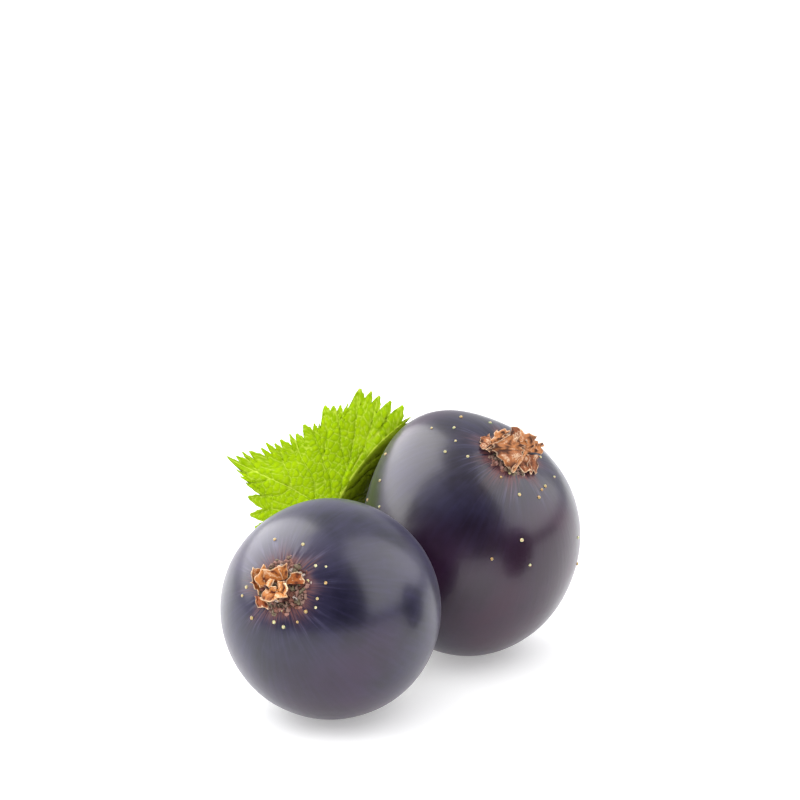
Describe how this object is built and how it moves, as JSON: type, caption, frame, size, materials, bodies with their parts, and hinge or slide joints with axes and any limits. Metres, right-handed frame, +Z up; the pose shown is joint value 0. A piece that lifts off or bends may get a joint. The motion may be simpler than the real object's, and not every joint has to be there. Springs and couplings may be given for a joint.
{
  "type": "blackcurrant sprig",
  "caption": "Ripe blackcurrants with withered flower ends on thin stalks, with a young toothed leaf, on a short cut twig, lying on a surface.",
  "frame": {"origin": "middle of the sprig's footprint, on the plane that it lies on", "axes": "+Z up, +Y from the smaller berry towards the twig, +X towards the larger berry"},
  "size_m": [0.0202, 0.0278, 0.0137],
  "materials": {
    "berry_skin": "waxy blue-black skin with a thin pale bloom and a soft sheen",
    "dried_flower": "dry, crumpled and papery, matt",
    "leaf_green": "fresh bright green, puckered between pale veins, with a faint sheen",
    "green_stalk": "smooth fresh green, slightly reddish towards the berries",
    "bark": "thin greyish brown bark, matt"
  },
  "bodies": {
    "root": {"berry_front": "berry_skin", "berry_back": "berry_skin", "calyx_front": "dried_flower", "calyx_back": "dried_flower", "fruit_stem": "green_stalk", "leaf": "leaf_green", "twig": "bark"}
  },
  "joints": []
}
